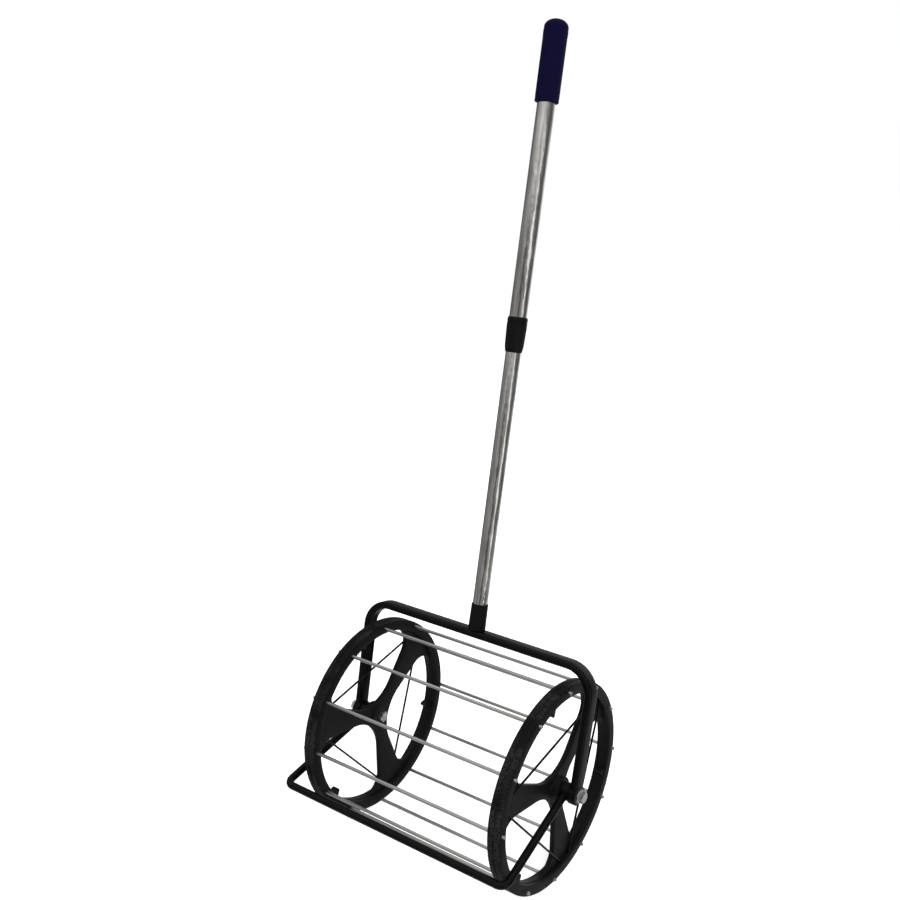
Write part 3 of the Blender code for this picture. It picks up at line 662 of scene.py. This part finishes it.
def follow(bm, ring, path):
    """Draw a ring of edges along a path in local XZ, square to it, and cap both ends."""
    flat = [(b - a).normalized() for a, b in zip(path, path[1:])]
    facing = [flat[0]] + [(a + b).normalized() for a, b in zip(flat, flat[1:])] + [flat[-1]]
    verts = list({v for e in ring for v in e.verts})
    bmesh.ops.translate(bm, verts=verts, vec=(path[0].x, 0.0, path[0].y))
    ends = [ring]
    for i in range(len(path) - 1):
        made = bmesh.ops.extrude_edge_only(bm, edges=ring)["geom"]
        verts = [v for v in made if isinstance(v, bmesh.types.BMVert)]
        fresh = set(verts)
        ring = [e for e in made if isinstance(e, bmesh.types.BMEdge) and set(e.verts) <= fresh]
        here, there = path[i], path[i + 1]
        turn = atan2(facing[i + 1].x, facing[i + 1].y) - atan2(facing[i].x, facing[i].y)
        bmesh.ops.rotate(bm, verts=verts, cent=(here.x, 0.0, here.y),
                         matrix=Matrix.Rotation(turn, 3, 'Y'))
        bmesh.ops.translate(bm, verts=verts, vec=(there.x - here.x, 0.0, there.y - here.y))
    ends.append(ring)
    for edges in ends:
        bmesh.ops.edgeloop_fill(bm, edges=edges)


def weld_eyes(bm, arm, radius, ease, steps):
    """Turn a round eye for the axle bolt at the end of each arm, and weld it on."""
    eyes = bmesh.new()
    for side in (1, -1):
        low, high = side * arm - eye_half, side * arm + eye_half
        turned_shell(eyes, [(axle_bore, high, 0.0004), (axle_bore, low, 0.0004),
                            (radius, low, ease), (radius, high, ease)], steps=steps)
    bmesh.ops.transform(eyes, matrix=axle_place, verts=eyes.verts[:])
    take_in(bm, eyes)


bm = bmesh.new()
section = outline_edges(bm, eased([
    (tube_wall, tube_width, tube_ease), (-tube_wall, tube_width, tube_ease),
    (-tube_wall, -tube_width, tube_ease), (tube_wall, -tube_width, tube_ease)], 6))
follow(bm, section, u_path(frame_arm, frame_arm, 0.025, frame_reach, corner=0.034, count=22))
bmesh.ops.transform(bm, matrix=pole_place, verts=bm.verts[:])
weld_eyes(bm, frame_arm, radius=0.0125, ease=0.0012, steps=72)
set_piece(closed_mesh("u_frame", bm, Matrix.Identity(4)), "handle", "black_painted_tube",
          frame_paint, "handle_frame")

# Front bail: a lighter U of 10 mm round bar that swings on the same bolts, painted as the frame.
# A turned knuckle is welded on each end, and its arms splay out a little to clear the discs.
bar_radius = 0.0050
bail_arm = hub_outer_face + face_gap + eye_half
bail_splay = 0.0098
bail_reach = tread_radius + 0.0153 + bar_radius
bail_angle = radians(193.9)
bail_place = Matrix.Translation(axle) @ Matrix.Rotation(bail_angle - pi / 2, 4, 'X')
bail_paint = painted_steel("semi_gloss_black_bar", 760.0, worn_inside=0.0092)
bm = bmesh.new()
bmesh.ops.create_circle(bm, cap_ends=False, segments=32, radius=bar_radius)
follow(bm, bm.edges[:], u_path(bail_arm, bail_arm + bail_splay, 0.0132, bail_reach,
                               corner=0.010, count=14))
bmesh.ops.transform(bm, matrix=bail_place, verts=bm.verts[:])
weld_eyes(bm, bail_arm, radius=0.0110, ease=0.0010, steps=64)
set_piece(closed_mesh("swinging_bail", bm, Matrix.Identity(4)), "bail", "black_painted_tube",
          bail_paint, "front_bail")

# Pole socket: a black nylon cup, moulded with a slight taper, that stands on the top bar.
# A screw from below would hold it. The lower tube drops into it with a light press.
socket_foot = frame_reach + tube_wall + seat_gap
socket_mouth = socket_foot + 0.0341
socket_floor = socket_foot + 0.0030
socket_skirt = socket_foot + 0.0050
socket_base_radius = 0.0111
socket_mouth_radius = 0.01065
cup_bore = 0.0098


def fine_plastic(name, grain_depth):
    """Finer grained black nylon, brighter where hands polish it."""
    mat, tree, shader, at = new_finish(name)
    skin = place_group(tree, moulded_skin, Vector=at, Grain_Scale=2400.0, Flow_Scale=60.0,
                       Scuff_Scale=320.0, Scuff_Level=0.64)
    black = blended(tree, skin["Flow"], (0.0028, 0.0028, 0.0030, 1), (0.0052, 0.0052, 0.0055, 1))
    feed(tree, shader, Specular_IOR_Level=0.13,
         Base_Color=blended(tree, times(tree, skin["Scuff"], 0.6), black,
                            (0.020, 0.020, 0.020, 1)),
         Roughness=uneven(tree, skin["Flow"], 0.34, 0.46, skin["Scuff"], 0.2),
         Normal=raised(tree, skin["Grain"], grain_depth))
    return mat


bm = bmesh.new()
turned_shell(bm, [
    (0.0, socket_foot, 0.0), (socket_base_radius, socket_foot, 0.0004),
    (socket_base_radius, socket_skirt, 0.0020), (socket_mouth_radius, socket_mouth, 0.0010),
    (cup_bore, socket_mouth, 0.0003), (cup_bore, socket_floor, 0.0),
    (0.0, socket_floor, 0.0)])
set_piece(closed_mesh("socket_cup", bm, pole_place), "handle", "black_moulded_plastic",
          fine_plastic("tapered_socket_nylon", 0.00009), "pole_socket")

# Pole tubes: two thin walled steel tubes, 19 mm inside 21.5 mm, polished lengthwise and plated.
# The lower one stands in the socket, and the upper one slides over it and carries lock and grip.
lower_outer, lower_inner = 0.0095, 0.0085
upper_outer, upper_inner = 0.01075, 0.0098
sleeve_bore = upper_outer + seat_gap
collar_bottom = 0.5157
collar_floor = collar_bottom + 0.0100
tube_overlap = 0.0715
grip_top = 0.8950
grip_end = grip_top - 0.0060


def polished_tube():
    """Bright plated steel: polishing lines, longer smeared streaks, and a faint hand worn haze."""
    mat, tree, shader, at = new_finish("polished_plated_tube")
    along = feed(tree, add_node(tree, "ShaderNodeMapping"), Vector=at,
                 Rotation=(lean, 0.0, 0.0)).outputs[0]
    drawn = place_group(tree, drawn_metal, Vector=along, Line_Frequency=(1500.0, 1500.0, 9.0),
                        Cloud_Frequency=(60.0, 60.0, 14.0))
    streaks = noise(tree, stretched(tree, along, 420.0, 420.0, 26.0), 1.0, 3.0, 0.55)
    waves = noise(tree, stretched(tree, along, 130.0, 130.0, 38.0), 1.0, 2.0, 0.5)
    dulled = between(tree, streaks, 0.40, 0.64)
    haze = between(tree, drawn["Cloud"], 0.45, 0.70, 0.0, 0.22)
    bright = blended(tree, drawn["Lines"], (0.66, 0.65, 0.625, 1), (0.86, 0.85, 0.82, 1))
    bright = blended(tree, times(tree, dulled, 0.75), bright, (0.38, 0.37, 0.35, 1))
    feed(tree, shader, Metallic=1.0,
         Base_Color=blended(tree, haze, bright, (0.52, 0.50, 0.47, 1)),
         Roughness=uneven(tree, drawn["Lines"], 0.08, 0.15, dulled, 0.10),
         Normal=raised(tree, drawn["Lines"], 0.000012, under=raised(tree, waves, 0.0010)))
    return mat


tube_finish = polished_tube()
for name, body, node, outer, inner, low, high in (
        ("inner_tube", "handle", "lower_tube", lower_outer, lower_inner,
         socket_floor + seat_gap, collar_floor + tube_overlap),
        ("outer_tube", "upper_pole", "upper_tube", upper_outer, upper_inner,
         collar_floor + seat_gap, grip_end - seat_gap)):
    bm = bmesh.new()
    ease = (outer - inner) * 0.35
    turned_shell(bm, [(inner, high, ease), (inner, low, ease), (outer, low, ease),
                      (outer, high, ease)], steps=128, count=3)
    set_piece(closed_mesh(name, bm, pole_place), body, "polished_steel_tube", tube_finish, node)

# Twist lock collar: a black nylon nut at the upper tube's lower end, fluted for the hand.
# A quarter turn squeezes its nose onto the lower tube. A groove parts its crown from its grip.
collar_top = collar_bottom + 0.0423
collar_radius = 0.01235
collar_nose = 0.0104
collar_neck = 0.01165
groove_edge = collar_top - 0.0062
groove_radius = 0.01185
flute_count = 14
flute_depth = 0.00032
flute_bottom = collar_bottom + 0.0060
flute_top = groove_edge - 0.0012
skin_inside = 0.0112
bm = bmesh.new()
turned_shell(bm, [
    (sleeve_bore, collar_top, 0.0002), (0.0116, collar_top, 0.0005),
    (collar_radius, collar_top - 0.0024, 0.0018), (collar_radius, groove_edge + 0.0010, 0.0002),
    (groove_radius, groove_edge + 0.0008, 0.0001), (groove_radius, groove_edge + 0.0005, 0.0001),
    (collar_radius, groove_edge, 0.0002), (collar_radius, collar_top - 0.0130, 0.0030),
    (collar_neck, collar_bottom + 0.0080, 0.0040), (collar_nose, collar_bottom, 0.0018),
    (upper_inner, collar_bottom, 0.0002), (upper_inner, collar_floor, 0.0),
    (sleeve_bore, collar_floor, 0.0), (sleeve_bore, collar_top - 0.0003, 0.0)], steps=224)
bmesh.ops.remove_doubles(bm, verts=bm.verts[:], dist=weld_distance)
long_side = 0.006
long_sides = [e for e in bm.edges if abs(e.verts[0].co.z - e.verts[1].co.z) > long_side
              and e.verts[0].co.xy.length > skin_inside]
bmesh.ops.subdivide_edges(bm, edges=long_sides, cuts=10, use_grid_fill=True)
for v in bm.verts:
    r = v.co.xy.length
    rise = min(1.0, (flute_top - v.co.z) / 0.0030, (v.co.z - flute_bottom) / 0.0050)
    if r > skin_inside and rise > 0.0:
        wave = max(0.0, cos(flute_count * atan2(v.co.y, v.co.x))) ** 2
        v.co.xy *= 1.0 - flute_depth / r * wave * rise * rise * (3 - 2 * rise)
set_piece(closed_mesh("fluted_collar", bm, pole_place), "collar", "black_moulded_plastic",
          fine_plastic("fluted_collar_nylon", 0.00008), "lock_collar")

# Grip: a sleeve of dense navy foam rubber with a domed end, pushed over the upper tube's end.
# Its skin is matt and finely open, with a shallow pressed line just above the mouth.
grip_bottom = grip_top - 0.0911
grip_radius = 0.01425
dome_height = 0.0095
dome_steps = 12
swell_steps = 8
line_height = grip_bottom + 0.0042


def foam_rubber():
    """Matt navy foam: open pores, slow blotches and paler worn spots."""
    mat, tree, shader, at = new_finish("matt_navy_foam")
    along = feed(tree, add_node(tree, "ShaderNodeMapping"), Vector=at,
                 Rotation=(lean, 0.0, 0.0)).outputs[0]
    cells = add_node(tree, "ShaderNodeTexVoronoi", feature='F1')
    cells = feed(tree, cells, Vector=at, Scale=1500.0).outputs["Distance"]
    blotch = noise(tree, stretched(tree, along, 90.0, 90.0, 30.0), 1.0, 4.0, 0.6)
    worn = between(tree, noise(tree, at, 420.0, 4.0, 0.65), 0.56, 0.70)
    pores = between(tree, cells, 0.15, 0.45)
    navy = blended(tree, blotch, (0.0018, 0.0016, 0.0135, 1), (0.0034, 0.0028, 0.0235, 1))
    navy = blended(tree, times(tree, pores, 0.30), navy, (0.0052, 0.0045, 0.031, 1))
    navy = blended(tree, times(tree, worn, 0.22), navy, (0.011, 0.010, 0.036, 1))
    feed(tree, shader, Base_Color=navy, Specular_IOR_Level=0.06,
         Roughness=between(tree, blotch, 0.3, 0.7, 0.60, 0.72),
         Normal=raised(tree, cells, 0.00022, 0.8))
    return mat


skin_line = [(0.0, grip_top)]
for i in range(1, dome_steps + 1):
    a = pi / 2 * i / dome_steps
    skin_line.append((grip_radius * sin(a), grip_top - dome_height * (1 - cos(a))))
for i in range(1, swell_steps + 1):
    swell = 0.00022 * sin(pi * i / swell_steps) ** 2
    skin_line.append((grip_radius + swell, grip_top - dome_height - 0.0016 * i))
for up, depth in ((0.0014, 0.0), (0.0006, 0.0001), (0.0, 0.0005), (-0.0006, 0.0001),
                  (-0.0014, 0.0)):
    skin_line.append((grip_radius - depth, line_height + up))
bm = bmesh.new()
turned_shell(bm, [(r, z, 0.0) for r, z in skin_line] + [
    (grip_radius, grip_bottom, 0.0012), (sleeve_bore, grip_bottom, 0.0003),
    (sleeve_bore, grip_end, 0.0), (0.0, grip_end, 0.0)], steps=128)
set_piece(closed_mesh("foam_grip", bm, pole_place, sharp=50.0), "upper_pole", "navy_rubber",
          foam_rubber(), "grip")

# Camera: a still camera above and in front of the right hand disc, as the photograph was taken.
# Its lens is shifted a little, so the pole stands high in the frame without a steeper tilt.
camera_data = bpy.data.cameras.new("camera")
camera_data.lens = 42.4517
camera_data.shift_y = 0.080
camera = bpy.data.objects.new("camera", camera_data)
camera.location = (0.69482, axle.y - 0.95827, axle.z + 0.78543)
camera.rotation_euler = (radians(68.4536), radians(0.3990), radians(36.3746))
bpy.context.scene.collection.objects.link(camera)
bpy.context.scene.camera = camera

# Studio: a wide pale floor under a white sky, lit by three soft lights, the largest by the camera.
# What shines sees a sky of grey and white screens instead, which draws the streaks on the tubes.
bm = bmesh.new()
bmesh.ops.create_circle(bm, cap_ends=True, segments=64, radius=40.0)
floor_mesh = bpy.data.meshes.new("studio_floor")
bm.to_mesh(floor_mesh)
bm.free()
floor = bpy.data.objects.new("studio_floor", floor_mesh)
bpy.context.scene.collection.objects.link(floor)
floor.visible_glossy = False
floor_paint, tree, shader, at = new_finish("pale_floor")
seen = add_node(tree, "ShaderNodeLightPath").outputs["Is Camera Ray"]
feed(tree, shader, Base_Color=(0.88, 0.88, 0.88, 1), Roughness=0.9,
     Emission_Color=(1, 1, 1, 1), Emission_Strength=times(tree, seen, 0.56))
floor_mesh.materials.append(floor_paint)

world = bpy.data.worlds.new("studio_sky")
bpy.context.scene.world = world
world.use_nodes = True
tree = world.node_tree
way = add_node(tree, "ShaderNodeTexCoord").outputs["Generated"]
height = feed(tree, add_node(tree, "ShaderNodeSeparateXYZ"), n0=way).outputs["Z"]
around = add_node(tree, "ShaderNodeTexGradient", gradient_type='RADIAL')
around = feed(tree, around, n0=way).outputs["Fac"]
swerve = times(tree, sums(tree, 'MAXIMUM', height, 0.0), 0.14)
around = sums(tree, 'FRACT', sums(tree, 'ADD', around, swerve))


def screens(greys):
    """Greys round the horizon, from behind on the left through the camera's side and back."""
    ramp = feed(tree, add_node(tree, "ShaderNodeValToRGB"), n0=around)
    marks = ramp.color_ramp.elements
    while len(marks) < len(greys):
        marks.new(0.5)
    for mark, (place, grey) in zip(marks, greys):
        mark.position = place
        mark.color = (grey, grey, grey, 1)
    return ramp.outputs[0]


low_screens = screens([
    (0.000, 0.19), (0.060, 0.24), (0.150, 0.27), (0.235, 0.32), (0.290, 0.29), (0.307, 0.10),
    (0.343, 0.10), (0.385, 0.34), (0.428, 0.42), (0.446, 1.20), (0.474, 1.20), (0.500, 0.28),
    (0.555, 0.12), (0.625, 0.12), (0.680, 0.45), (0.740, 0.90), (0.800, 0.90), (0.850, 0.30),
    (0.907, 0.14), (0.962, 0.16)])
high_screens = screens([
    (0.000, 0.22), (0.100, 0.30), (0.184, 0.42), (0.287, 0.60), (0.350, 0.78), (0.400, 0.70),
    (0.482, 0.45), (0.557, 0.18), (0.615, 0.12), (0.680, 0.45), (0.740, 0.90), (0.800, 0.90),
    (0.860, 0.35), (0.930, 0.20)])
overhead = (0.75, 0.75, 0.75, 1)
underfoot = (0.50, 0.50, 0.49, 1)
plain_grey = (0.50, 0.50, 0.50, 1)
shone = blended(tree, between(tree, height, 0.16, 0.40), low_screens, high_screens)
shone = blended(tree, between(tree, height, 0.50, 0.85), shone, overhead)
shone = blended(tree, between(tree, height, -0.32, -0.72), shone, underfoot)
rays = add_node(tree, "ShaderNodeLightPath").outputs
sky = blended(tree, rays["Is Glossy Ray"], plain_grey, shone)
feed(tree, tree.nodes["Background"], Strength=1.0,
     Color=blended(tree, rays["Is Camera Ray"], sky, (1, 1, 1, 1)))


def soft_light(name, place, size, watts):
    """A round soft box that points at the middle of the drum and pole, unseen in what shines."""
    data = bpy.data.lights.new(name, 'AREA')
    data.shape = 'DISK'
    data.size = size
    data.energy = watts
    light = bpy.data.objects.new(name, data)
    light.location = place
    light.visible_glossy = False
    aim = Vector((0.0, 0.0, 0.40)) - Vector(place)
    light.rotation_euler = aim.to_track_quat('-Z', 'Y').to_euler()
    bpy.context.scene.collection.objects.link(light)


soft_light("key_light", (1.75, -1.35, 1.90), 1.1, 46.0)
soft_light("left_light", (-1.90, -0.80, 1.70), 0.9, 12.0)
soft_light("back_light", (0.50, 2.30, 2.00), 1.0, 34.0)
bpy.context.scene.view_settings.view_transform = 'Standard'
